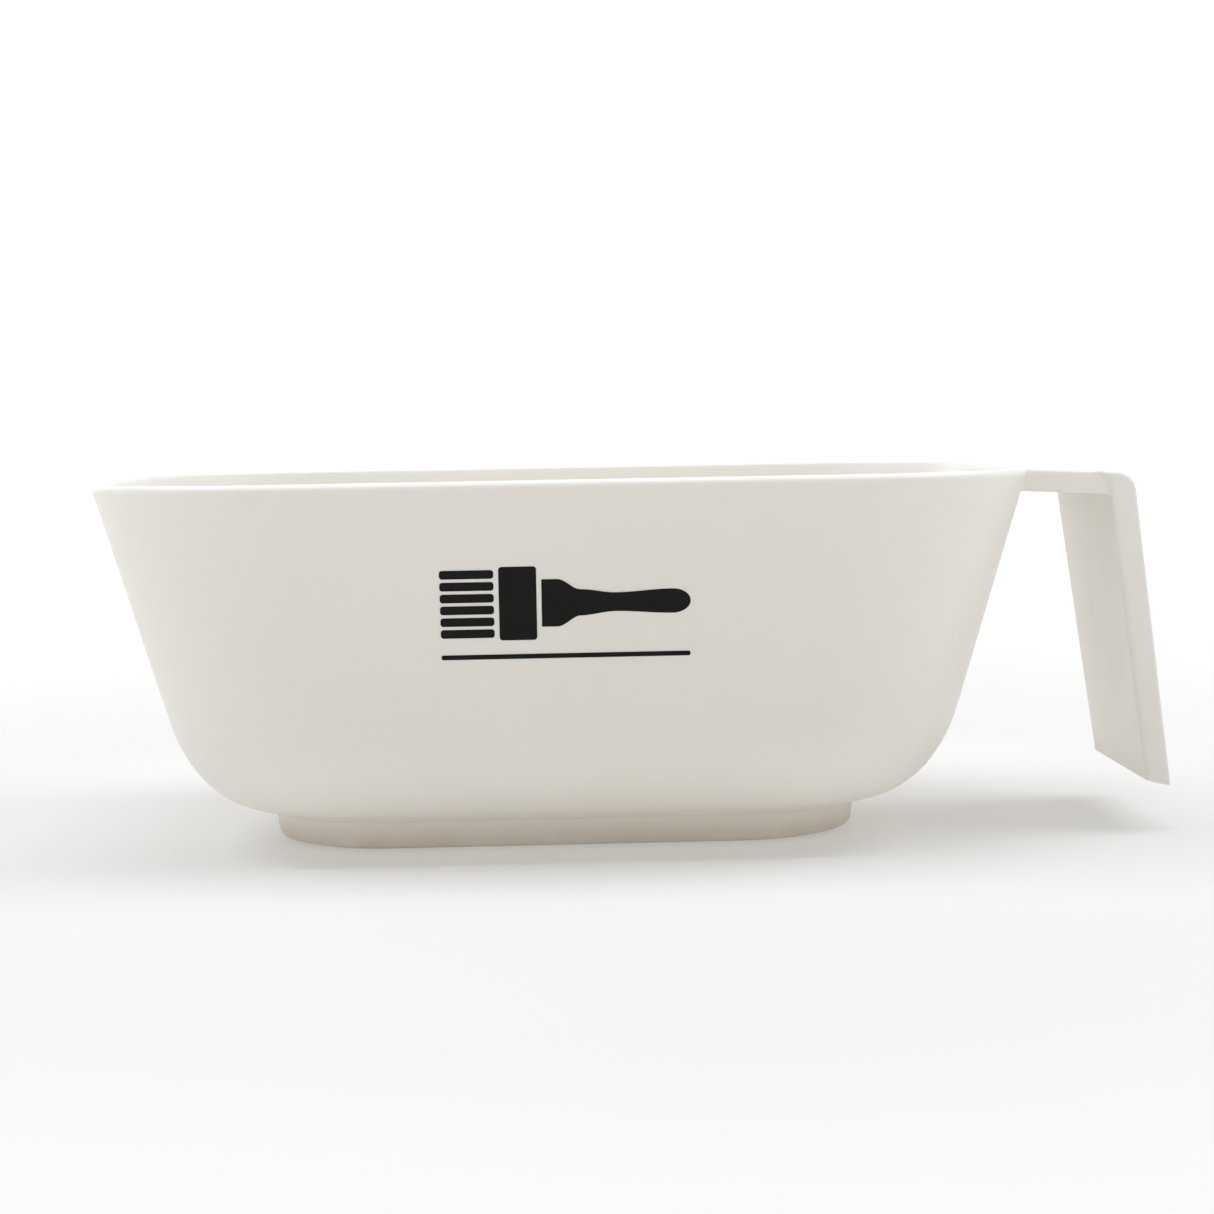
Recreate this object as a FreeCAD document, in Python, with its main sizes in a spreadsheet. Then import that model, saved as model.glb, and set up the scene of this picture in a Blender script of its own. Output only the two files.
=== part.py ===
import FreeCAD, Part
import math
import os
from FreeCAD import Vector
import Sketcher

# Hair colour bowl: a long rounded vessel with a strap handle at one end, standing on a raised foot.
# Frame: millimetres, +Z up, the origin on the table under the middle of the foot.
# +X runs along the bowl towards the handle, and the printed side faces -Y.

doc = FreeCAD.newDocument("hair_color_bowl")

# ---------------------------------------------------------------- driving dimensions

DIMENSIONS = [
    # the vessel, measured over its outside
    ("rim_length", 150.5),
    ("rim_width", 102.9),
    ("rim_corner", 30.8),
    ("rim_height", 61.0),        # table to the top of the rim
    ("belly_height", 10.1),      # where the straight walls would meet the underside
    ("belly_inset", 13.7),       # how far the walls have come in by then
    ("belly_corner", 25.2),
    ("belly_round", 23.0),       # the bend between the walls and the underside
    ("wall", 2.0),
    ("rim_round", 0.95),
    ("heel_margin", 2.1),        # flat of the underside left showing round the foot
    # the foot that is moulded under it
    ("foot_top", 5.3),
    ("foot_bottom", 0.4),
    ("foot_length", 98.8),
    ("foot_width", 41.0),
    ("foot_corner", 20.3),
    ("foot_draft", 0.6),
    ("foot_wall", 5.6),
    ("foot_round", 1.4),
    # the soft ring pressed into the foot
    ("grip_width", 1.6),
    ("grip_height", 3.4),
    ("grip_margin", 2.3),        # from the foot's lower outline to the ring
    ("grip_round", 0.35),
    # the strap handle
    ("strap_width", 41.5),
    ("strap_top", 60.6),         # height of its upper face at the rim
    ("strap_thick", 3.7),
    ("strap_fall", 0.048),       # drop per millimetre outwards
    ("strap_sink", 0.08),        # how far its upper face lies below the bend's
    ("strap_root", 1.45),        # how far it reaches into the wall before it is trimmed
    ("finger_gap", 14.1),        # rim to the inside of the leg, under the strap
    ("leg_bottom", 8.65),
    ("leg_reach", 20.6),         # rim to the inside of the leg at its lower end
    ("leg_thick", 4.42),
    ("leg_thick_end", 4.08),
    ("leg_end_slant", 1.0),
    ("leg_narrowing", 2.5),      # each side, from the top of the bend to the lower end
    ("leg_lip", 0.35),           # how far its edges stand proud of the strap's
    ("bend_outer", 3.4),
    ("bend_lip", 2.7),
    ("handle_round", 1.0),
    # the ink printed on the front wall
    ("ink_thick", 0.08),
    ("ink_height", 41.0),        # height of the middle of the print
    ("ink_length", 38.0),
]

sheet = doc.addObject("Spreadsheet::Sheet", "dims")
size = {}
for row, (alias, value) in enumerate(DIMENSIONS, start=1):
    sheet.set(f"A{row}", alias)
    sheet.set(f"B{row}", str(value))
    sheet.setAlias(f"B{row}", alias)
    size[alias] = value
doc.recompute()

# ---------------------------------------------------------------- helpers


def new_body(name):
    body = doc.addObject("PartDesign::Body", name)
    body.Label = name
    return body


def new_sketch(body, name, plane, height="0"):
    """An empty sketch on one of the body's origin planes, raised along that plane's normal."""
    sketch = body.newObject("Sketcher::SketchObject", name)
    support = next(o for o in body.Origin.OriginFeatures if o.Role == plane)
    sketch.AttachmentSupport = [(support, "")]
    sketch.MapMode = "FlatFace"
    sketch.setExpression("AttachmentOffset.Base.z", height)
    return sketch


def bind(sketch, constraint, name, expression):
    """Adds a dimension constraint, names it and ties it to the spreadsheet."""
    index = sketch.addConstraint(constraint)
    sketch.renameConstraint(index, name)
    sketch.setExpression(f"Constraints.{name}", expression)


def rounded_outline(body, name, height, length, width, corner):
    """A sketch of a rectangle with four equal round corners, centred on the vertical axis."""
    sketch = new_sketch(body, name, "XY_Plane", height)
    add_rounded_loop(sketch, "loop", length, width, corner)
    return sketch


def add_rounded_loop(sketch, tag, length, width, corner):
    a, b, r = 40.0, 30.0, 8.0      # a first guess that the constraints then correct
    first = sketch.GeometryCount
    quarter = math.pi / 2
    sides = [
        ((-a + r, -b), (a - r, -b)),
        ((a, -b + r), (a, b - r)),
        ((a - r, b), (-a + r, b)),
        ((-a, b - r), (-a, -b + r)),
    ]
    centres = [(a - r, -b + r), (a - r, b - r), (-a + r, b - r), (-a + r, -b + r)]
    for side, (cx, cy) in enumerate(centres):
        (x0, y0), (x1, y1) = sides[side]
        line = Part.LineSegment(Vector(x0, y0, 0), Vector(x1, y1, 0))
        circle = Part.Circle(Vector(cx, cy, 0), Vector(0, 0, 1), r)
        start = (side - 1) * quarter
        sketch.addGeometry(line, False)
        sketch.addGeometry(Part.ArcOfCircle(circle, start, start + quarter), False)
    lines = [first, first + 2, first + 4, first + 6]
    arcs = [first + 1, first + 3, first + 5, first + 7]
    for k in range(4):
        sketch.addConstraint(Sketcher.Constraint("Tangent", lines[k], 2, arcs[k], 1))
        sketch.addConstraint(Sketcher.Constraint("Tangent", arcs[k], 2, lines[(k + 1) % 4], 1))
    for k in (0, 2):
        sketch.addConstraint(Sketcher.Constraint("Horizontal", lines[k]))
        sketch.addConstraint(Sketcher.Constraint("Vertical", lines[k + 1]))
    for k in range(1, 4):
        sketch.addConstraint(Sketcher.Constraint("Equal", arcs[0], arcs[k]))
    sketch.addConstraint(Sketcher.Constraint("Symmetric", arcs[0], 3, arcs[2], 3, -1, 1))
    bind(sketch, Sketcher.Constraint("DistanceX", lines[3], 1, lines[1], 1, 2 * a), tag + "_length", length)
    bind(sketch, Sketcher.Constraint("DistanceY", lines[0], 1, lines[2], 1, 2 * b), tag + "_width", width)
    bind(sketch, Sketcher.Constraint("Radius", arcs[0], r), tag + "_corner", corner)


def add_polygon(sketch, corners):
    """A closed polygon whose corners are given as pairs of expressions in the sketch's own axes."""
    first = sketch.GeometryCount
    rough = [Vector(evaluate(x), evaluate(y), 0) for x, y in corners]
    count = len(corners)
    for k in range(count):
        sketch.addGeometry(Part.LineSegment(rough[k], rough[(k + 1) % count]), False)
    for k in range(count):
        sketch.addConstraint(Sketcher.Constraint("Coincident", first + k, 2, first + (k + 1) % count, 1))
    for k, (x, y) in enumerate(corners):
        place_point(sketch, first + k, 1, f"corner{first + k}", x, y)


def place_point(sketch, geometry, end, name, x, y):
    """Fixes a point of the sketch at a pair of expressions."""
    bind(sketch, Sketcher.Constraint("DistanceX", -1, 1, geometry, end, evaluate(x)), name + "_x", x)
    bind(sketch, Sketcher.Constraint("DistanceY", -1, 1, geometry, end, evaluate(y)), name + "_y", y)


def evaluate(expression):
    """The value that an expression over the spreadsheet has now."""
    return float(sheet.evalExpression(expression.replace("dims.", "")))


def loft(body, name, kind, sections):
    """A ruled loft through the sections: kind is AdditiveLoft or SubtractiveLoft."""
    feature = body.newObject("PartDesign::" + kind, name)
    feature.Profile = sections[0]
    feature.Sections = sections[1:]
    feature.Ruled = True
    doc.recompute()
    return feature


def pad(body, sketch, name, length, both_ways=False):
    feature = body.newObject("PartDesign::Pad", name)
    feature.Profile = sketch
    feature.SideType = "Symmetric" if both_ways else "One side"
    feature.setExpression("Length", length)
    doc.recompute()
    return feature


def pocket(body, sketch, name, length=None, both_ways=False, upwards=False):
    """A pocket, through everything where no length is given. Stops the build if it cuts nothing."""
    before = body.Shape.Volume
    feature = body.newObject("PartDesign::Pocket", name)
    feature.Profile = sketch
    feature.SideType = "Symmetric" if both_ways else "One side"
    feature.Reversed = upwards
    if length is None:
        feature.Type = "ThroughAll"
    else:
        feature.setExpression("Length", length)
    doc.recompute()
    if body.Shape.Volume > before - 1.0:
        raise RuntimeError(f"{name} cut nothing away")
    return feature


def fillet(body, name, radius, wanted):
    """Rounds the edges of the body's present shape for which wanted(edge) is true."""
    base = body.Tip
    edges = [f"Edge{k}" for k, edge in enumerate(base.Shape.Edges, start=1) if wanted(edge)]
    if not edges:
        raise RuntimeError(f"{name} found no edges")
    feature = body.newObject("PartDesign::Fillet", name)
    feature.Base = (base, edges)
    feature.setExpression("Radius", radius)
    doc.recompute()
    return feature


def lies_level(edge, height, tolerance=0.02):
    """True if the whole edge is at that height."""
    box = edge.BoundBox
    return abs(box.ZMin - height) < tolerance and abs(box.ZMax - height) < tolerance


# ---------------------------------------------------------------- bowl_shell

SLOPE = "(dims.belly_inset / (dims.rim_height - dims.belly_height))"
WALL_ACROSS = f"(dims.wall * sqrt(1 + {SLOPE} ^ 2))"
INNER_BELLY = "(dims.belly_height + 1.1 * dims.wall)"
INNER_INSET = f"({WALL_ACROSS} + {SLOPE} * (dims.rim_height - {INNER_BELLY}))"


def make_bowl_shell():
    """The vessel: straight walls that lean in, a wide bend, a shallow underside and an even wall."""
    body = new_body("bowl_shell")
    outer = [
        rounded_outline(body, "rim_outline", "dims.rim_height",
                        "dims.rim_length", "dims.rim_width", "dims.rim_corner"),
        rounded_outline(body, "belly_outline", "dims.belly_height",
                        "dims.rim_length - 2 * dims.belly_inset",
                        "dims.rim_width - 2 * dims.belly_inset", "dims.belly_corner"),
        rounded_outline(body, "heel_outline", "dims.foot_top",
                        "dims.foot_length + 2 * dims.heel_margin",
                        "dims.foot_width + 2 * dims.heel_margin", "dims.foot_corner + dims.heel_margin"),
    ]
    loft(body, "outer_form", "AdditiveLoft", outer)
    inner = [
        rounded_outline(body, "mouth_outline", "dims.rim_height",
                        f"dims.rim_length - 2 * {WALL_ACROSS}", f"dims.rim_width - 2 * {WALL_ACROSS}",
                        f"dims.rim_corner - {WALL_ACROSS}"),
        rounded_outline(body, "inner_belly_outline", INNER_BELLY,
                        f"dims.rim_length - 2 * {INNER_INSET}", f"dims.rim_width - 2 * {INNER_INSET}",
                        "dims.belly_corner - dims.wall"),
        rounded_outline(body, "floor_outline", "dims.foot_top + dims.wall",
                        "dims.foot_length", "dims.foot_width", "dims.foot_corner"),
    ]
    loft(body, "cavity", "SubtractiveLoft", inner)
    bend = evaluate(INNER_BELLY)
    fillet(body, "cavity_bend", "dims.belly_round - dims.wall", lambda e: lies_level(e, bend))
    floor = size["foot_top"] + size["wall"]
    fillet(body, "floor_blend", "3 * dims.wall", lambda e: lies_level(e, floor))
    fillet(body, "belly_bend", "dims.belly_round", lambda e: lies_level(e, size["belly_height"]))
    fillet(body, "rim_rounding", "dims.rim_round", lambda e: lies_level(e, size["rim_height"]))
    return body


# ---------------------------------------------------------------- foot_ring and grip_ring


def foot_outline(body, name, height, inwards):
    return rounded_outline(body, name, height,
                           f"dims.foot_length - 2 * ({inwards})",
                           f"dims.foot_width - 2 * ({inwards})",
                           f"dims.foot_corner - ({inwards})")


GRIP_OUTSIDE = "dims.foot_draft + dims.grip_margin"
GRIP_INSIDE = "dims.foot_draft + dims.grip_margin + dims.grip_width"


def make_foot_ring():
    """The raised foot: a drafted ring, open inside, with a groove round its lower edge."""
    body = new_body("foot_ring")
    top = foot_outline(body, "foot_top_outline", "dims.foot_top", "0")
    bottom = foot_outline(body, "foot_bottom_outline", "dims.foot_bottom", "dims.foot_draft")
    loft(body, "foot_form", "AdditiveLoft", [top, bottom])
    fillet(body, "foot_lower_rounding", "dims.foot_round", lambda e: lies_level(e, size["foot_bottom"]))
    fillet(body, "foot_upper_rounding", "0.3 * dims.foot_round", lambda e: lies_level(e, size["foot_top"]))
    inside = foot_outline(body, "recess_outline", "dims.foot_top", "dims.foot_wall")
    pocket(body, inside, "recess")
    groove = foot_outline(body, "groove_outline", "dims.foot_bottom", GRIP_OUTSIDE)
    add_rounded_loop(groove, "island", f"dims.foot_length - 2 * ({GRIP_INSIDE})",
                     f"dims.foot_width - 2 * ({GRIP_INSIDE})", f"dims.foot_corner - ({GRIP_INSIDE})")
    pocket(body, groove, "grip_groove", "dims.grip_height - dims.foot_bottom", upwards=True)
    return body


def make_grip_ring():
    """The soft ring that fills the groove and stands proud of it, so that the bowl doesn't slide."""
    body = new_body("grip_ring")
    ring = foot_outline(body, "grip_outline", "0", GRIP_OUTSIDE)
    add_rounded_loop(ring, "island", f"dims.foot_length - 2 * ({GRIP_INSIDE})",
                     f"dims.foot_width - 2 * ({GRIP_INSIDE})", f"dims.foot_corner - ({GRIP_INSIDE})")
    pad(body, ring, "grip_form", "dims.grip_height")
    fillet(body, "grip_rounding", "dims.grip_round", lambda e: lies_level(e, 0.0))
    return body


# ---------------------------------------------------------------- handle

RIM_END = "dims.rim_length / 2"
STRAP_TOP_AT = "(dims.strap_top - dims.strap_fall * ({x} - dims.rim_length / 2))"
LEG_TOP_X = f"({RIM_END} + dims.finger_gap)"
LEG_TOP_Z = f"({STRAP_TOP_AT.format(x=LEG_TOP_X)} - dims.strap_thick)"
LEG_END_X = f"({RIM_END} + dims.leg_reach)"
LEG_OUTWARD = f"({LEG_END_X} - {LEG_TOP_X} + dims.leg_thick_end - dims.leg_thick)"
LEG_LEAN = f"({LEG_OUTWARD} / ({LEG_TOP_Z} - dims.leg_bottom))"
LEG_HALF = "(dims.strap_width / 2 + dims.leg_lip)"
BEND_X = f"({LEG_TOP_X} + dims.leg_thick - {LEG_LEAN} * dims.strap_thick)"
LIP_X = f"({LEG_TOP_X} - dims.bend_lip)"


def leg_side_outline(body):
    """The leg seen from the side, with the bend at its top that turns over into the strap."""
    sketch = new_sketch(body, "leg_side", "XZ_Plane")
    lip_low = "(dims.strap_thick - dims.bend_lip)"
    add_polygon(sketch, [
        (LEG_END_X, "dims.leg_bottom"),
        (f"{LEG_END_X} + dims.leg_thick_end", "dims.leg_bottom - dims.leg_end_slant"),
        (BEND_X, STRAP_TOP_AT.format(x=BEND_X)),
        (LIP_X, STRAP_TOP_AT.format(x=LIP_X)),
        (f"({LEG_TOP_X} - {LEG_LEAN} * {lip_low})", f"({LEG_TOP_Z} + {lip_low})"),
    ])
    return sketch


def make_leg():
    """The leg and its bend: as wide as the strap at the top and narrower towards its flat lower end."""
    body = new_body("handle_leg")
    pad(body, leg_side_outline(body), "leg_plate", f"2 * {LEG_HALF}", both_ways=True)
    flanks = new_sketch(body, "flank_cuts", "YZ_Plane")
    low = "(dims.leg_bottom - 2 * dims.leg_end_slant)"
    low_half = f"({LEG_HALF} - dims.leg_narrowing)"
    high = "(dims.strap_top + 1)"
    for side in ("", "-"):
        add_polygon(flanks, [
            (f"{side}{LEG_HALF}", high),
            (f"{side}{low_half}", low),
            (f"{side}({LEG_HALF} + 1)", low),
            (f"{side}({LEG_HALF} + 1)", high),
        ])
    pocket(body, flanks, "flank_narrowing", both_ways=True)
    bend_x = evaluate(BEND_X)
    fillet(body, "outer_bend", "dims.bend_outer", lambda e: crosses(e, bend_x))
    fillet(body, "leg_outer_edges", "0.6 * dims.handle_round", lambda e: runs_down(e, "outer"))
    fillet(body, "leg_inner_edges", "dims.handle_round", lambda e: runs_down(e, "inner"))
    return body


def make_strap():
    """The strap, from inside the end wall to the middle of the leg."""
    body = new_body("handle_strap")
    side_view = new_sketch(body, "strap_side", "XZ_Plane")
    root_top = f"({RIM_END} - dims.strap_root)"
    root_low = f"({RIM_END} - dims.strap_root - {SLOPE} * dims.strap_thick)"
    strap_end = f"({LEG_TOP_X} + 0.5 * dims.leg_thick)"
    add_polygon(side_view, [
        (root_low, f"({STRAP_TOP_AT.format(x=root_low)} - dims.strap_thick)"),
        (strap_end, f"({STRAP_TOP_AT.format(x=strap_end)} - dims.strap_thick)"),
        (strap_end, f"({STRAP_TOP_AT.format(x=strap_end)} - dims.strap_sink)"),
        (root_top, f"({STRAP_TOP_AT.format(x=root_top)} - dims.strap_sink)"),
    ])
    pad(body, side_view, "strap_plate", "dims.strap_width", both_ways=True)
    fillet(body, "strap_edges", "0.6 * dims.handle_round", runs_out)
    return body


def crosses(edge, x, tolerance=0.05):
    """True for an edge that runs straight across the handle at that distance out."""
    box = edge.BoundBox
    return abs(box.XMin - x) < tolerance and box.XLength < tolerance and box.YLength > 10


def runs_down(edge, side):
    """True for the long edges down the leg: those on its outer face or those on its inner face."""
    box = edge.BoundBox
    divide = size["rim_length"] / 2 + size["leg_reach"] + size["leg_thick_end"] / 2
    return box.ZLength > 20 and box.YLength < 5 and (box.XMax > divide) == (side == "outer")


def runs_out(edge):
    return edge.BoundBox.XLength > 5 and edge.BoundBox.YLength < 0.1


def make_handle(shell):
    """Strap and leg in one piece, with the root trimmed so that it meets the wall face to face."""
    whole = doc.addObject("Part::MultiFuse", "handle_whole")
    whole.Shapes = [make_leg(), make_strap()]
    whole.Refine = True
    doc.recompute()
    trimmed = doc.addObject("Part::Cut", "handle")
    trimmed.Base = whole
    trimmed.Tool = shell
    doc.recompute()
    return trimmed


# ---------------------------------------------------------------- printed_mark

# The brush, in fractions of the print's length. Its handle is a row of (distance along, half width).
MIDDLE = 0.035
STRANDS = 6
STRAND_PITCH = 0.05
STRAND_THICK = 0.036
STRAND_LOW = MIDDLE - (STRAND_PITCH * (STRANDS - 1) + STRAND_THICK) / 2
BRUSH_HANDLE = [
    (-0.095, 0.1),
    (-0.03, 0.1),
    (0.06, 0.055),
    (0.2, 0.04),
    (0.44, 0.05),
    (0.48, 0.038),
    (0.5, 0.014),
]


def box_corners(left, low, right, high):
    """The corners of a rectangle, from fractions of the print's length, as expressions."""
    return scaled([(left, low), (right, low), (right, high), (left, high)])


def scaled(fractions):
    return [(f"{u} * dims.ink_length", f"{v} * dims.ink_length") for u, v in fractions]


def make_printed_mark():
    """A plain picture of a tint brush over a thin rule, as a film of ink lying on the front wall."""
    sketch = doc.addObject("Sketcher::SketchObject", "mark_outline")
    sketch.Placement = FreeCAD.Placement(Vector(0, 0, 0), FreeCAD.Rotation(Vector(1, 0, 0), 90))
    wall_y = f"-(dims.rim_width / 2 - {SLOPE} * (dims.rim_height - dims.ink_height))"
    sketch.setExpression("Placement.Base.y", wall_y)
    sketch.setExpression("Placement.Base.z", "dims.ink_height")
    sketch.setExpression("Placement.Rotation.Angle", f"90 deg + atan({SLOPE})")
    doc.recompute()
    for strand in range(STRANDS):
        low = STRAND_LOW + strand * STRAND_PITCH
        add_polygon(sketch, box_corners(-0.5, low, -0.285, low + STRAND_THICK))
    add_polygon(sketch, box_corners(-0.265, STRAND_LOW - 0.012, -0.115, 2 * MIDDLE - STRAND_LOW + 0.012))
    lower_side = [(u, MIDDLE - half) for u, half in BRUSH_HANDLE]
    upper_side = [(u, MIDDLE + half) for u, half in reversed(BRUSH_HANDLE)]
    add_polygon(sketch, scaled(lower_side + upper_side))
    add_polygon(sketch, box_corners(-0.5, -0.2, 0.5, -0.18))
    film = doc.addObject("Part::Extrusion", "printed_mark")
    film.Base = sketch
    film.DirMode = "Normal"
    film.Solid = True
    film.setExpression("LengthFwd", "dims.ink_thick")
    doc.recompute()
    return film


# ---------------------------------------------------------------- assembly and export


def require_sound(shape, name):
    if shape.isNull() or not shape.isValid() or not shape.Solids:
        raise RuntimeError(f"{name} isn't a valid solid")


shell = make_bowl_shell()
nodes = {
    "bowl_shell": shell,
    "handle": make_handle(shell),
    "foot_ring": make_foot_ring(),
    "grip_ring": make_grip_ring(),
    "printed_mark": make_printed_mark(),
}

for item in doc.Objects:
    if "Invalid" in item.State or "Error" in item.State:
        raise RuntimeError(f"{item.Name} is in the state {item.State}")

os.makedirs("parts", exist_ok=True)
for name, node in nodes.items():
    require_sound(node.Shape, name)
    node.Label = name
    node.Shape.exportStep(f"parts/{name}.step")
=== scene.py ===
import math

import bmesh
import bpy
from mathutils import Matrix, Vector


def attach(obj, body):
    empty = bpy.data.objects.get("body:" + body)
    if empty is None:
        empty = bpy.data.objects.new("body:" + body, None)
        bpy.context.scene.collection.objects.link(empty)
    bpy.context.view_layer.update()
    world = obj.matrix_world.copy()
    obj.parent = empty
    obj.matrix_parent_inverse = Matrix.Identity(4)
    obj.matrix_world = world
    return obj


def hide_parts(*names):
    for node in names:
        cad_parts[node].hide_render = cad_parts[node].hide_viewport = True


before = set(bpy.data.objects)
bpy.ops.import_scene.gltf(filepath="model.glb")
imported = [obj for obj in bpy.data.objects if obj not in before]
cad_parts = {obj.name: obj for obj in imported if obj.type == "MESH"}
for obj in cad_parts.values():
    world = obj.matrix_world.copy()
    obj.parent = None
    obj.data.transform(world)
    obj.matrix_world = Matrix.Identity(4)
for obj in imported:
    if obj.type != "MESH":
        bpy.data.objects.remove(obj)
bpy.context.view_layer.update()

MM = 0.001

# ---------------------------------------------------------------- sizes, in millimetres

# The vessel's outlines, each (half length, half width, corner radius, height). Walls, underside and
# floor are drawn as flats that meet at these, and the bends between them are rounded afterwards.
RIM = (75.25, 51.45, 30.8, 61.0)
MOUTH = (73.18, 49.38, 28.73, 61.0)
BELLY = (61.55, 37.75, 25.2, 10.1)
INNER_BELLY = (60.07, 36.27, 23.2, 12.3)
HEEL = (51.5, 22.6, 22.4, 5.3)
FLOOR = (49.4, 20.5, 20.3, 7.3)
UNDER_FOOT = (47.6, 18.7, 18.5, 5.3)
FLOOR_MIDDLE = (44.5, 15.6, 15.4, 7.3)
FOOT = (49.4, 20.5, 20.3)                    # the foot's outline just under the belly, without a height
WALL_SLOPE = (RIM[0] - BELLY[0]) / (RIM[3] - BELLY[3])

# ---------------------------------------------------------------- mesh helpers


def rounded_loop(half_x, half_y, corner, z, arc=20, long_side=14, short_side=6):
    """A rounded rectangle as points, anticlockwise from above.
    Every loop has the same number of points in the same order, so loops can be joined one to one."""
    points = []
    signs = ((1, -1), (1, 1), (-1, 1), (-1, -1))
    for k in range(4):
        centre = Vector((signs[k][0] * (half_x - corner), signs[k][1] * (half_y - corner), z))
        for i in range(arc + 1):
            a = math.radians(-90 + 90 * k + 90 * i / arc)
            points.append(centre + Vector((math.cos(a), math.sin(a), 0)) * corner)
        following = signs[(k + 1) % 4]
        target = Vector((following[0] * (half_x - corner), following[1] * (half_y - corner), z))
        target += points[-1] - centre
        steps = short_side if k % 2 == 0 else long_side
        start = points[-1]
        for i in range(1, steps):
            points.append(start.lerp(target, i / steps))
    return points


def rounded_path(corners, bends, straights=None):
    """The line through corners with each inner corner turned into an arc.
    bends holds (radius, steps) for each inner corner; straights the pieces in each straight run."""
    runs = [[corners[0]]]
    for k, (radius, steps) in enumerate(bends, start=1):
        before = (corners[k - 1] - corners[k]).normalized()
        after = (corners[k + 1] - corners[k]).normalized()
        half = before.angle(after) / 2
        centre = corners[k] + (before + after).normalized() * (radius / math.sin(half))
        first = corners[k] + before * (radius / math.tan(half)) - centre
        last = corners[k] + after * (radius / math.tan(half)) - centre
        arc = []
        for i in range(steps + 1):
            arc.append(centre + first.normalized().slerp(last.normalized(), i / steps) * radius)
        runs.append(arc)
    runs.append([corners[-1]])
    path = list(runs[0])
    for k in range(1, len(runs)):
        pieces = straights[k - 1] if straights else 1
        start, end = path[-1], runs[k][0]
        path += [start.lerp(end, i / pieces) for i in range(1, pieces)]
        path += runs[k]
    return path


def build(name, loops, ring=False):
    """A mesh object of quads between closed loops of points given in millimetres.
    As a ring the last loop joins the first; otherwise the first and last are closed by a face each."""
    bm = bmesh.new()
    rows = [[bm.verts.new(p * MM) for p in loop] for loop in loops]
    count = len(rows[0])
    pairs = list(zip(rows, rows[1:]))
    if ring:
        pairs.append((rows[-1], rows[0]))
    for low, high in pairs:
        for j in range(count):
            k = (j + 1) % count
            bm.faces.new((low[j], low[k], high[k], high[j]))
    if not ring:
        bm.faces.new(list(reversed(rows[0])))
        bm.faces.new(rows[-1])
    bmesh.ops.recalc_face_normals(bm, faces=bm.faces[:])
    for face in bm.faces:
        face.smooth = True
    return finish_mesh(name, bm)


def finish_mesh(name, bm, weighted=True):
    """The object made from bm. Weighted normals keep large flats flat beside their rounded edges."""
    mesh = bpy.data.meshes.new(name)
    bm.to_mesh(mesh)
    bm.free()
    obj = bpy.data.objects.new(name, mesh)
    bpy.context.scene.collection.objects.link(obj)
    if weighted:
        modifier = obj.modifiers.new("even_normals", "WEIGHTED_NORMAL")
        modifier.mode = "FACE_AREA"
        modifier.weight = 80
        modifier.keep_sharp = True
    return obj


# ---------------------------------------------------------------- the vessel


def make_vessel():
    """Underside, bend, wall, rim, inside wall, inside bend and floor as one closed skin."""
    outline = [UNDER_FOOT, HEEL, BELLY, RIM, MOUTH, INNER_BELLY, FLOOR, FLOOR_MIDDLE]
    loops = [rounded_loop(*section) for section in outline]
    heel, belly, rim_edge, inner_belly, floor_edge = (1.2, 4), (23.0, 18), (0.95, 7), (21.0, 18), (6.0, 8)
    bends = [heel, belly, rim_edge, rim_edge, inner_belly, floor_edge]
    straights = [2, 1, 6, 1, 6, 1, 2]
    paths = [rounded_path(list(corners), bends, straights) for corners in zip(*loops)]
    rows = [list(row) for row in zip(*paths)]
    return build("vessel", rows)


# ---------------------------------------------------------------- foot and grip ring

FOOT_TOP = 5.38                              # a hair above the underside, so that no gap shows
FOOT_BOTTOM = 0.4
FOOT_WIDTH = 5.6
FOOT_DRAFT = 0.6                             # how far the outside leans in on its way down
FOOT_FLARE = 0.8                             # how far the top runs out along the underside
FLARE_FALL = 0.1
GROOVE_OUTER = 2.9
GROOVE_INNER = 4.5
GROOVE_TOP = 3.4
GRIP_SIDE_GAP = 0.03
GRIP_TOP_GAP = 0.02


def ring_rows(profile, bends):
    """Loops of a ring whose section is a closed profile of (distance in from FOOT's outline, height)."""
    corners = [Vector((inwards, height, 0)) for inwards, height in profile]
    path = rounded_path(corners, bends)
    return [rounded_loop(FOOT[0] - p.x, FOOT[1] - p.x, FOOT[2] - p.x, p.y) for p in path]


def make_foot():
    """The foot from the middle of its top, outwards, down its outside and through the grip's groove."""
    top_middle = 3.0
    profile = [
        (top_middle, FOOT_TOP),
        (-FOOT_FLARE, FOOT_TOP),
        (0.0, FOOT_TOP - FLARE_FALL),
        (FOOT_DRAFT, FOOT_BOTTOM),
        (GROOVE_OUTER, FOOT_BOTTOM),
        (GROOVE_OUTER, GROOVE_TOP),
        (GROOVE_INNER, GROOVE_TOP),
        (GROOVE_INNER, FOOT_BOTTOM),
        (FOOT_WIDTH, FOOT_BOTTOM),
        (FOOT_WIDTH, FOOT_TOP),
    ]
    flare_edge, flare_hollow, lower_edge, inner_edge = (0.01, 1), (0.65, 6), (1.4, 7), (0.35, 4)
    groove_lip, groove_corner = (0.15, 3), (0.05, 1)
    groove = [groove_lip, groove_corner, groove_corner, groove_lip]
    bends = [flare_edge, flare_hollow, lower_edge, *groove, inner_edge]
    return build("foot", ring_rows(profile, bends), ring=True)


def make_grip():
    """The soft ring in the groove, with its two lower edges rounded. It stands on the table."""
    outer, inner = GROOVE_OUTER + GRIP_SIDE_GAP, GROOVE_INNER - GRIP_SIDE_GAP
    top = GROOVE_TOP - GRIP_TOP_GAP
    profile = [(outer, top), (outer, 0.0), (inner, 0.0), (inner, top)]
    lower_edge = (0.35, 5)
    return build("grip", ring_rows(profile, [lower_edge, lower_edge]), ring=True)


# ---------------------------------------------------------------- handle

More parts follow.
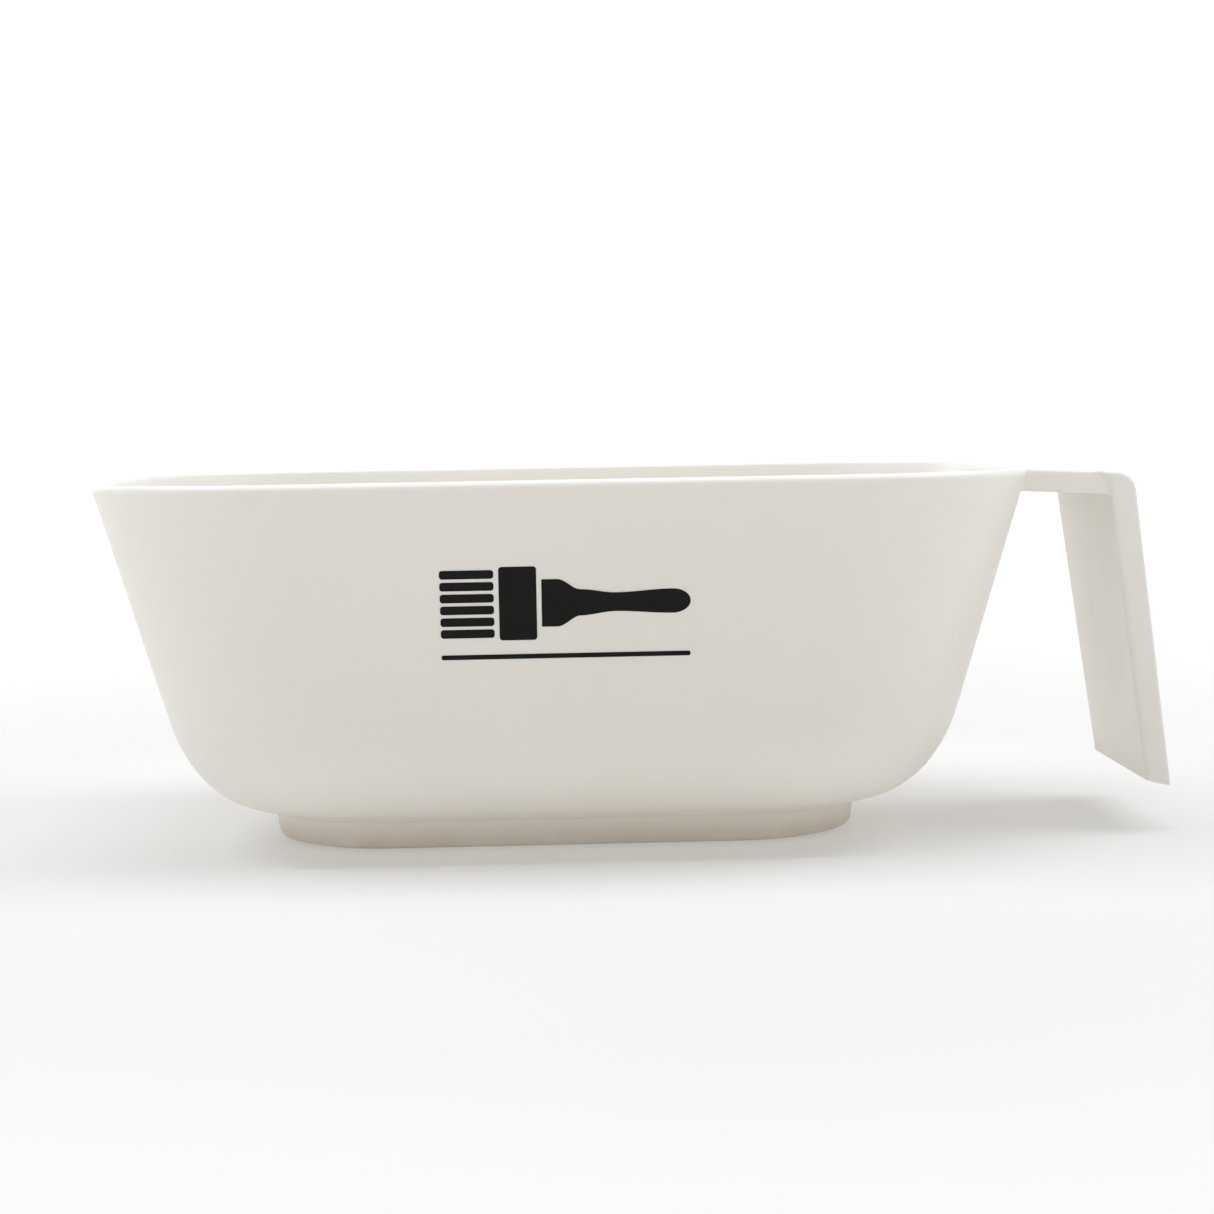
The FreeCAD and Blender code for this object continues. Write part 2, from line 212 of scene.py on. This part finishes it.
STRAP_FALL = 0.048                           # the strap's slope down from the wall
STRAP_TOP = 60.6                             # its height at the wall
STRAP_THICK = 3.7
STRAP_HALF = 20.75
STRAP_ROOT = 1.1                             # how far the strap reaches into the end wall
ROOT_FLARE = 0.9                             # radius of the fillet where it leaves the wall
LEG_LIP = 0.35                               # how far the leg's edges stand proud of the strap's
LIP_CENTRE = (87.1, 57.3)                    # middle of the arc along which they step out
LIP_RADIUS = 2.5
LIP_WIDTH = 0.5
LEG_START = 86.4                             # where the step and the leg's narrowing begin
LIP_FADE = 1.2
NARROWING_FADE = 3.0
LEG_NARROWING = 2.5 / 54.95                  # per millimetre down from NARROWING_TOP
NARROWING_TOP = 61.6
INNER_CORNER_X = 89.35
OUTER_CORNER_X = 93.29
INNER_LOW = (95.85, 8.65)                    # the leg's lower end
OUTER_LOW = (99.93, 7.65)
INNER_BEND = 0.75
OUTER_BEND = 3.4
BEND_STEPS = 14
LEG_STEPS = 15
STRAP_EDGE = 0.5                             # edge radius
LEG_INNER_EDGE = 1.1
END_EDGE = 0.3


def strap_top(x):
    return STRAP_TOP - STRAP_FALL * (x - RIM[0])


def smooth(value):
    value = min(max(value, 0.0), 1.0)
    return value * value * (3 - 2 * value)


def half_width(x, z):
    """Half the handle's width: the strap's, then a small curved step up to the leg, which narrows
    downwards."""
    dx, dz = x - LIP_CENTRE[0], z - LIP_CENTRE[1]
    past = dx if z < LIP_CENTRE[1] else math.hypot(max(dx, 0.0), dz)
    step = smooth((past - LIP_RADIUS) / LIP_WIDTH + 0.5) * smooth((x - LEG_START) / LIP_FADE)
    narrowing = LEG_NARROWING * (NARROWING_TOP - z) * smooth((x - LEG_START) / NARROWING_FADE)
    return STRAP_HALF + LEG_LIP * step - narrowing


def strap_distances(length):
    """Where the strap's sections lie from its root: close together in the root's fillet, then even."""
    fillet = [STRAP_ROOT + ROOT_FLARE * (1 - math.cos(math.pi / 2 * i / 6)) for i in range(7)]
    even_from = 11.3
    even = [even_from + (length - even_from) * i / 14 for i in range(14)]
    return [0.0, 0.7, *fillet, 3.2, 4.6, 6.2, 8.0, 9.6, 10.8, *even]


def handle_stations():
    """Pairs of points across the handle's thickness, lower or inner one first, from inside the wall to
    the leg's end. Each comes with its two edge radii and with how much the root flares there."""
    outer_corner = Vector((OUTER_CORNER_X, strap_top(OUTER_CORNER_X), 0))
    inner_corner = Vector((INNER_CORNER_X, strap_top(INNER_CORNER_X) - STRAP_THICK, 0))
    top_root = Vector((RIM[0] - STRAP_ROOT, strap_top(RIM[0] - STRAP_ROOT), 0))
    low_root = Vector((top_root.x - WALL_SLOPE * STRAP_THICK, top_root.y + 0.05 - STRAP_THICK, 0))
    top_line = rounded_path([top_root, outer_corner, Vector((*OUTER_LOW, 0))], [(OUTER_BEND, BEND_STEPS)])
    low_line = rounded_path([low_root, inner_corner, Vector((*INNER_LOW, 0))], [(INNER_BEND, BEND_STEPS)])
    stations = []
    length = (top_line[1] - top_line[0]).length
    for distance in strap_distances(length):
        low = low_line[0].lerp(low_line[1], distance / length)
        top = top_line[0].lerp(top_line[1], distance / length)
        out = min(max(distance - STRAP_ROOT, 0.0), ROOT_FLARE)
        flare = ROOT_FLARE - math.sqrt(max(ROOT_FLARE ** 2 - (ROOT_FLARE - out) ** 2, 0.0))
        stations.append((low, top, STRAP_EDGE, STRAP_EDGE, flare))
    for i, (low, top) in enumerate(zip(low_line[1:-1], top_line[1:-1])):
        low_edge = STRAP_EDGE + (LEG_INNER_EDGE - STRAP_EDGE) * smooth(i / BEND_STEPS)
        stations.append((low, top, low_edge, STRAP_EDGE, 0.0))
    for i in range(1, LEG_STEPS + 1):
        low = low_line[-2].lerp(low_line[-1], i / LEG_STEPS)
        top = top_line[-2].lerp(top_line[-1], i / LEG_STEPS)
        stations.append((low, top, LEG_INNER_EDGE, STRAP_EDGE, 0.0))
    return stations


def handle_section(low, top, low_round, top_round, flare, inset=0.0):
    """One loop round the handle, between a point on its lower or inner face and one on its upper or
    outer face."""
    edge_steps, side_steps, columns = 6, 8, 8
    across = (top - low).normalized()
    low = low - across * (flare - inset)
    top = top - across * inset
    thick = (top - low).length
    profile = []
    for i in range(edge_steps + 1):
        a = math.pi / 2 * i / edge_steps
        profile.append((low_round * (1 - math.cos(a)), low_round * (1 - math.sin(a))))
    for i in range(1, side_steps):
        profile.append((low_round + (thick - low_round - top_round) * i / side_steps, 0.0))
    for i in range(edge_steps + 1):
        a = math.pi / 2 * i / edge_steps
        profile.append((thick - top_round * (1 - math.sin(a)), top_round * (1 - math.cos(a))))
    near, far = [], []
    for along, drawn_in in profile:
        place = low + across * along
        y = half_width(place.x, place.y) + flare - inset - drawn_in
        near.append(Vector((place.x, -y, place.y)))
        far.append(Vector((place.x, y, place.y)))
    top_row = [near[-1].lerp(far[-1], i / columns) for i in range(1, columns)]
    low_row = [far[0].lerp(near[0], i / columns) for i in range(1, columns)]
    return near + top_row + far[::-1] + low_row


def make_handle():
    """Strap, bend and leg as one skin, with the edge of the leg's lower end rounded."""
    stations = handle_stations()
    loops = [handle_section(*station) for station in stations[:-1]]
    low, top, low_round, top_round, flare = stations[-1]
    down = (top - stations[-2][1]).normalized()
    steps = 3
    for i in range(steps + 1):
        a = math.pi / 2 * i / steps
        shift = down * (END_EDGE * (math.sin(a) - 1))
        inset = END_EDGE * (1 - math.cos(a))
        loops.append(handle_section(low + shift, top + shift, low_round, top_round, flare, inset))
    return build("strap_handle", loops)


# ---------------------------------------------------------------- printed mark

INK_HEIGHT = 41.0                            # of the print's middle, up the front wall
INK_HALF = 19.0
INK_THICK = 0.05
BRUSH_MIDDLE = 1.33                          # how far above the print's middle the brush lies
STRANDS = 6
STRAND_PITCH = 1.9
STRAND_THICK = 1.37
STRAND_END = -10.83
FERRULE = (-10.07, -4.37)
FERRULE_PROUD = 0.46
NECK = (-3.61, 3.8)                          # handle places, each (distance along, half width)
SHOULDER = (-1.2, 3.8)
THROAT = (2.3, 2.1)
WAIST = (7.6, 1.5)
GRIP_END = (16.3, 1.95)
RULE = (-7.6, -6.84)                         # the thin rule's lower and upper edge


def on_wall(u, v, w=0.0):
    """A point of the front wall's flat, u along it and v up it from the middle of the print, w off it."""
    angle = math.atan(WALL_SLOPE)
    centre = Vector((0, -(RIM[1] - WALL_SLOPE * (RIM[3] - INK_HEIGHT)), INK_HEIGHT))
    up = Vector((0, -math.sin(angle), math.cos(angle)))
    out = Vector((0, -math.cos(angle), -math.sin(angle)))
    return centre + Vector((u, 0, 0)) + up * v + out * w


def bar(left, low, right, high, radius):
    """The outline of a bar with round corners, on the wall's flat."""
    points = []
    for k, (x, y) in enumerate(((right, low), (right, high), (left, high), (left, low))):
        sx = -1 if k in (0, 1) else 1
        sy = 1 if k in (0, 3) else -1
        for i in range(7):
            a = math.radians(-90 + 90 * k + 15 * i)
            points.append((x + sx * radius + radius * math.cos(a), y + sy * radius + radius * math.sin(a)))
    return points


def smooth_widths(places, pieces=12):
    """(distance along, half width) of the brush's handle, eased from each place to the next."""
    out = []
    for (u0, w0), (u1, w1) in zip(places, places[1:]):
        for i in range(pieces):
            f = i / pieces
            out.append((u0 + (u1 - u0) * f, w0 + (w1 - w0) * smooth(f)))
    out.append(places[-1])
    return out


def brush_handle():
    """The outline of the brush's handle, which ends in half an ellipse."""
    widths = smooth_widths([NECK, SHOULDER, THROAT, WAIST, GRIP_END])
    steps = 10
    for i in range(1, steps):
        a = math.pi / 2 * i / steps
        widths.append((GRIP_END[0] + (INK_HALF - GRIP_END[0]) * math.sin(a), GRIP_END[1] * math.cos(a)))
    lower = [(u, BRUSH_MIDDLE - w) for u, w in widths]
    upper = [(u, BRUSH_MIDDLE + w) for u, w in widths[::-1]]
    return lower + [(INK_HALF, BRUSH_MIDDLE)] + upper


def make_print():
    """A tint brush over a thin rule, each shape a separate island of ink on the front wall."""
    low = BRUSH_MIDDLE - (STRAND_PITCH * (STRANDS - 1) + STRAND_THICK) / 2
    high = 2 * BRUSH_MIDDLE - low
    shapes = []
    for k in range(STRANDS):
        y = low + k * STRAND_PITCH
        shapes.append(bar(-INK_HALF, y, STRAND_END, y + STRAND_THICK, 0.45))
    shapes.append(bar(FERRULE[0], low - FERRULE_PROUD, FERRULE[1], high + FERRULE_PROUD, 0.5))
    shapes.append(brush_handle())
    shapes.append(bar(-INK_HALF, RULE[0], INK_HALF, RULE[1], 0.3))
    bm = bmesh.new()
    for shape in shapes:
        low_ring = [bm.verts.new(on_wall(u, v) * MM) for u, v in shape]
        high_ring = [bm.verts.new(on_wall(u, v, INK_THICK) * MM) for u, v in shape]
        count = len(shape)
        for j in range(count):
            k = (j + 1) % count
            bm.faces.new((low_ring[j], low_ring[k], high_ring[k], high_ring[j]))
        bm.faces.new(high_ring)
        bm.faces.new(list(reversed(low_ring)))
    bmesh.ops.recalc_face_normals(bm, faces=bm.faces[:])
    return finish_mesh("print", bm, weighted=False)


# ---------------------------------------------------------------- material helpers
# Lengths in the materials are in metres, in object coordinates, which are the frame's.


def new_material(name):
    material = bpy.data.materials.new(name)
    material.use_nodes = True
    nodes = material.node_tree.nodes
    shader = next(n for n in nodes if n.type == "BSDF_PRINCIPLED")
    where = nodes.new("ShaderNodeTexCoord").outputs["Object"]
    return material, nodes, material.node_tree.links, shader, where


def noise(nodes, links, vector, scale, detail=3.0, roughness=0.5, distortion=0.0):
    node = nodes.new("ShaderNodeTexNoise")
    node.inputs["Scale"].default_value = scale
    node.inputs["Detail"].default_value = detail
    node.inputs["Roughness"].default_value = roughness
    node.inputs["Distortion"].default_value = distortion
    links.new(vector, node.inputs["Vector"])
    return node.outputs["Fac"]


def spread(nodes, links, value, low, high, from_low=0.3, from_high=0.7):
    """Maps a value from one range to another. The default first range is where noise mostly lies."""
    node = nodes.new("ShaderNodeMapRange")
    node.inputs["From Min"].default_value = from_low
    node.inputs["From Max"].default_value = from_high
    node.inputs["To Min"].default_value = low
    node.inputs["To Max"].default_value = high
    links.new(value, node.inputs["Value"])
    return node.outputs["Result"]


def combine(nodes, links, operation, first, second):
    """The sum or product, as operation says, of two linked values."""
    node = nodes.new("ShaderNodeMath")
    node.operation = operation
    links.new(first, node.inputs[0])
    links.new(second, node.inputs[1])
    return node.outputs["Value"]


def blend_colours(nodes, links, factor, first, second):
    """A mix of two colours, each a tuple or another node's output."""
    node = nodes.new("ShaderNodeMix")
    node.data_type = "RGBA"
    for socket, colour in zip((s for s in node.inputs if s.type == "RGBA"), (first, second)):
        if isinstance(colour, tuple):
            socket.default_value = (*colour, 1.0)
        else:
            links.new(colour, socket)
    links.new(factor, node.inputs["Factor"])
    return next(s for s in node.outputs if s.type == "RGBA")


def bump(nodes, links, height, distance, strength, after=None):
    node = nodes.new("ShaderNodeBump")
    node.inputs["Distance"].default_value = distance
    node.inputs["Strength"].default_value = strength
    links.new(height, node.inputs["Height"])
    if after is not None:
        links.new(after, node.inputs["Normal"])
    return node.outputs["Normal"]


def wear_and_shade_band(nodes, links, where, band_from, band_to):
    """0 at the first height and 1 at the second, a little broken up by noise. It marks rubbed wear on the
    bowl and handle, and a painted contact shadow along the foot's bottom edge.
    """
    split = nodes.new("ShaderNodeSeparateXYZ")
    links.new(where, split.inputs["Vector"])
    height = spread(nodes, links, split.outputs["Z"], 0.0, 1.0, band_from, band_to)
    grain = noise(nodes, links, where, 130.0, 5.0, 0.65, 0.3)
    patches = spread(nodes, links, grain, 0.7, 1.0, 0.35, 0.6)
    return combine(nodes, links, "MULTIPLY", height, patches)


def scratches(nodes, links, where, stretch, depth):
    """Sparse hairlines from noise drawn out along one axis: 0 nearly everywhere and depth in the lines."""
    mapping = nodes.new("ShaderNodeMapping")
    mapping.inputs["Scale"].default_value = stretch
    mapping.inputs["Rotation"].default_value = (0.2, 0.5, 0.35)
    links.new(where, mapping.inputs["Vector"])
    lines = noise(nodes, links, mapping.outputs["Vector"], 1.0, 2.0, 0.5)
    return spread(nodes, links, lines, 0.0, depth, 0.66, 0.72)


# ---------------------------------------------------------------- materials

CLEAN = (0.85, 0.824, 0.768)
CLOUDED = (0.832, 0.804, 0.744)
RUBBED_RIM = (0.88, 0.865, 0.83)
RUBBED_LEG = (0.80, 0.775, 0.72)
# The foot's two tints below are painted shade: darker and warmer than the bowl's plastic, they stand in for
# the shadow and warm bounce light under the belly.
FOOT_SHADED = (0.81, 0.76, 0.685)
FOOT_SHADED_CLOUDED = (0.785, 0.73, 0.65)
# The darkest foot colour is a painted contact shadow, laid along the foot's bottom edge.
FOOT_PAINTED_SHADOW = (0.59, 0.525, 0.44)


def moulded_plastic(name, clean, clouded, wear_and_shade_colour, roughness, band_from, band_to):
    """Satin off-white moulding: faint clouding, fine mould grain, uneven gloss, hairlines and a band of
    another colour between two given heights.
    The band is rubbed wear on the bowl's rim and the leg's end, and a painted contact shadow along the
    foot's bottom edge."""
    material, nodes, links, shader, where = new_material(name)
    cloud = noise(nodes, links, where, 22.0, 3.0, 0.55, 0.4)
    fresh = blend_colours(nodes, links, spread(nodes, links, cloud, 0.0, 1.0), clean, clouded)
    wear_and_shade = wear_and_shade_band(nodes, links, where, band_from, band_to)
    links.new(blend_colours(nodes, links, wear_and_shade, fresh, wear_and_shade_colour), shader.inputs["Base Color"])
    smear = noise(nodes, links, where, 60.0, 4.0, 0.6)
    gloss = spread(nodes, links, smear, roughness - 0.05, roughness + 0.06)
    hairlines = scratches(nodes, links, where, (60.0, 1500.0, 1500.0), 0.07)
    gloss = combine(nodes, links, "ADD", gloss, hairlines)
    dulled = nodes.new("ShaderNodeMath")
    dulled.operation = "MULTIPLY_ADD"
    dulled.inputs[1].default_value = 0.16
    links.new(wear_and_shade, dulled.inputs[0])
    links.new(gloss, dulled.inputs[2])
    links.new(dulled.outputs["Value"], shader.inputs["Roughness"])
    grain = noise(nodes, links, where, 2600.0, 2.0, 0.5)
    wave = noise(nodes, links, where, 14.0, 2.0, 0.4)
    uneven = bump(nodes, links, wave, 0.0006, 0.25)
    links.new(bump(nodes, links, grain, 0.00002, 0.35, uneven), shader.inputs["Normal"])
    shader.inputs["IOR"].default_value = 1.49
    shader.inputs["Subsurface Weight"].default_value = 0.12
    shader.inputs["Subsurface Radius"].default_value = (1.0, 0.8, 0.6)
    shader.inputs["Subsurface Scale"].default_value = 0.003
    return material


def mottled(name, scale, first, second, glossiest, dullest, grain_scale, grain_depth, grain_strength):
    """A surface of two close tones, with its roughness following the same mottling and a fine grain.
    scale and grain_scale are the noises' own, so a larger one is a finer pattern."""
    material, nodes, links, shader, where = new_material(name)
    mottle = noise(nodes, links, where, scale, 4.0, 0.6)
    colour = blend_colours(nodes, links, spread(nodes, links, mottle, 0.0, 1.0), first, second)
    links.new(colour, shader.inputs["Base Color"])
    links.new(spread(nodes, links, mottle, glossiest, dullest), shader.inputs["Roughness"])
    grain = noise(nodes, links, where, grain_scale, 2.0, 0.5)
    links.new(bump(nodes, links, grain, grain_depth, grain_strength), shader.inputs["Normal"])
    return material, shader


def soft_rubber(name):
    pale, paler = (0.5, 0.48, 0.44), (0.58, 0.56, 0.52)
    material, _ = mottled(name, 180.0, pale, paler, 0.72, 0.86, 4200.0, 0.00003, 0.5)
    return material


def black_ink(name):
    black, warmer = (0.003, 0.003, 0.003), (0.006, 0.0055, 0.005)
    material, shader = mottled(name, 420.0, black, warmer, 0.38, 0.52, 3800.0, 0.00001, 0.4)
    shader.inputs["Specular IOR Level"].default_value = 0.15
    return material


# ---------------------------------------------------------------- pieces

vessel_finish = moulded_plastic("vessel_plastic", CLEAN, CLOUDED, RUBBED_RIM, 0.36, 0.0596, 0.0612)
handle_finish = moulded_plastic("handle_plastic", CLEAN, CLOUDED, RUBBED_LEG, 0.36, 0.013, 0.0074)
# The foot's colours are painted shade: a darker, warmer tint overall, and a painted contact shadow that
# deepens from 4.5 mm down to 0.2 mm.
shaded_foot_finish = moulded_plastic("foot_plastic", FOOT_SHADED, FOOT_SHADED_CLOUDED, FOOT_PAINTED_SHADOW, 0.4, 0.0045, 0.0002)

PIECES = [
    (make_vessel(), "bowl_shell", "bowl_plastic", vessel_finish),
    (make_handle(), "handle", "handle_plastic", handle_finish),
    (make_foot(), "foot_ring", "foot_plastic", shaded_foot_finish),
    (make_grip(), "grip_ring", "grip_rubber", soft_rubber("grip_rubber")),
    (make_print(), "printed_mark", "print_ink", black_ink("ink")),
]
for piece, node, slot, material in PIECES:
    piece.data.materials.clear()
    piece.data.materials.append(material)
    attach(piece, "root")
    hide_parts(node)

# ---------------------------------------------------------------- floor, light and camera, in metres

FLOOR_HALF = 12.0
FLOOR_Z = -0.00005                           # a hair under the grip ring's face
FLOOR_GLOW = (1.0, 0.975, 0.94, 1.0)
BOWL_MIDDLE = Vector((0, 0, 0.03))
COOL = (0.97, 1.0, 1.05)
WHITE = (1.0, 1.0, 1.0)


def make_floor():
    """A wide pale floor that glows more away from the bowl, so that it runs into the white horizon."""
    bm = bmesh.new()
    place = Matrix.Translation((0, 0, FLOOR_Z))
    bmesh.ops.create_grid(bm, x_segments=8, y_segments=8, size=FLOOR_HALF, matrix=place)
    floor = finish_mesh("floor", bm, weighted=False)
    material, nodes, links, shader, where = new_material("pale_floor")
    tone = noise(nodes, links, where, 3.0, 3.0, 0.5)
    pale, paler = (0.49, 0.487, 0.48), (0.51, 0.507, 0.50)
    colour = blend_colours(nodes, links, spread(nodes, links, tone, 0.0, 1.0), paler, pale)
    links.new(colour, shader.inputs["Base Color"])
    shader.inputs["Roughness"].default_value = 0.9
    shader.inputs["Specular IOR Level"].default_value = 0.0
    shader.inputs["Emission Color"].default_value = FLOOR_GLOW
    away = nodes.new("ShaderNodeVectorMath")
    away.operation = "LENGTH"
    links.new(where, away.inputs[0])
    glow = spread(nodes, links, away.outputs["Value"], 0.33, 0.97, 0.15, 1.1)
    links.new(glow, shader.inputs["Emission Strength"])
    floor.data.materials.append(material)


def area_light(name, place, side, power, colour):
    """A square light that faces the middle of the bowl."""
    data = bpy.data.lights.new(name, "AREA")
    data.shape = "SQUARE"
    data.size = side
    data.energy = power
    data.color = colour
    light = bpy.data.objects.new(name, data)
    light.location = place
    light.rotation_mode = "QUATERNION"
    light.rotation_quaternion = (BOWL_MIDDLE - Vector(place)).to_track_quat("-Z", "Y")
    bpy.context.scene.collection.objects.link(light)


def make_lights():
    area_light("overhead", (0.0, -0.2, 1.3), 0.7, 6.4, COOL)
    area_light("high_left", (-0.75, -0.1, 1.1), 0.7, 6.0, COOL)
    area_light("high_right", (0.75, -0.1, 1.1), 0.7, 6.4, COOL)
    area_light("back_left", (-0.65, 1.0, 0.35), 0.6, 1.5, WHITE)


def eased_range(nodes, links, value, from_low, from_high):
    """A range node that eases at both ends; its two results are left for the caller to set or link."""
    node = nodes.new("ShaderNodeMapRange")
    node.interpolation_type = "SMOOTHSTEP"
    node.inputs["From Min"].default_value = from_low
    node.inputs["From Max"].default_value = from_high
    links.new(value, node.inputs["Value"])
    return node


def make_world(horizon, behind, front):
    """A white band all round at eye level, and above it a softer sky that is dimmer on the printed side."""
    world = bpy.data.worlds.new("studio")
    world.use_nodes = True
    nodes, links = world.node_tree.nodes, world.node_tree.links
    background = next(n for n in nodes if n.type == "BACKGROUND")
    split = nodes.new("ShaderNodeSeparateXYZ")
    links.new(nodes.new("ShaderNodeTexCoord").outputs["Generated"], split.inputs["Vector"])
    sky = eased_range(nodes, links, split.outputs["Y"], -0.5, 0.7)
    sky.inputs["To Min"].default_value = front
    sky.inputs["To Max"].default_value = behind
    strength = eased_range(nodes, links, split.outputs["Z"], 0.2, 0.36)
    strength.inputs["To Min"].default_value = horizon
    links.new(sky.outputs["Result"], strength.inputs["To Max"])
    links.new(strength.outputs["Result"], background.inputs["Strength"])
    background.inputs["Color"].default_value = (1.0, 1.0, 1.0, 1.0)
    bpy.context.scene.world = world


def make_camera():
    """A long lens a little above the rim, turned slightly and rolled by one degree."""
    yaw, pitch, roll = 0.0304, 0.0801, -0.01766
    right = Vector((math.cos(yaw), -math.sin(yaw), 0))
    ahead = Vector((math.sin(yaw), math.cos(yaw), 0))
    above = Vector((0, 0, 1))
    forward = ahead * math.cos(pitch) - above * math.sin(pitch)
    up = ahead * math.sin(pitch) + above * math.cos(pitch)
    rolled_right = right * math.cos(roll) + up * math.sin(roll)
    rolled_up = up * math.cos(roll) - right * math.sin(roll)
    data = bpy.data.cameras.new("camera")
    data.sensor_width = 36.0
    data.lens = 71.36
    data.clip_start = 0.01
    data.clip_end = 40.0
    camera = bpy.data.objects.new("camera", data)
    place = Vector((-0.00477, -0.40976, 0.07067))
    rotation = Matrix((rolled_right, rolled_up, -forward)).transposed().to_4x4()
    camera.matrix_world = Matrix.Translation(place) @ rotation
    bpy.context.scene.collection.objects.link(camera)
    bpy.context.scene.camera = camera


make_floor()
make_camera()
make_world(horizon=1.03, behind=0.62, front=0.04)
make_lights()
bpy.context.scene.view_settings.view_transform = "Standard"
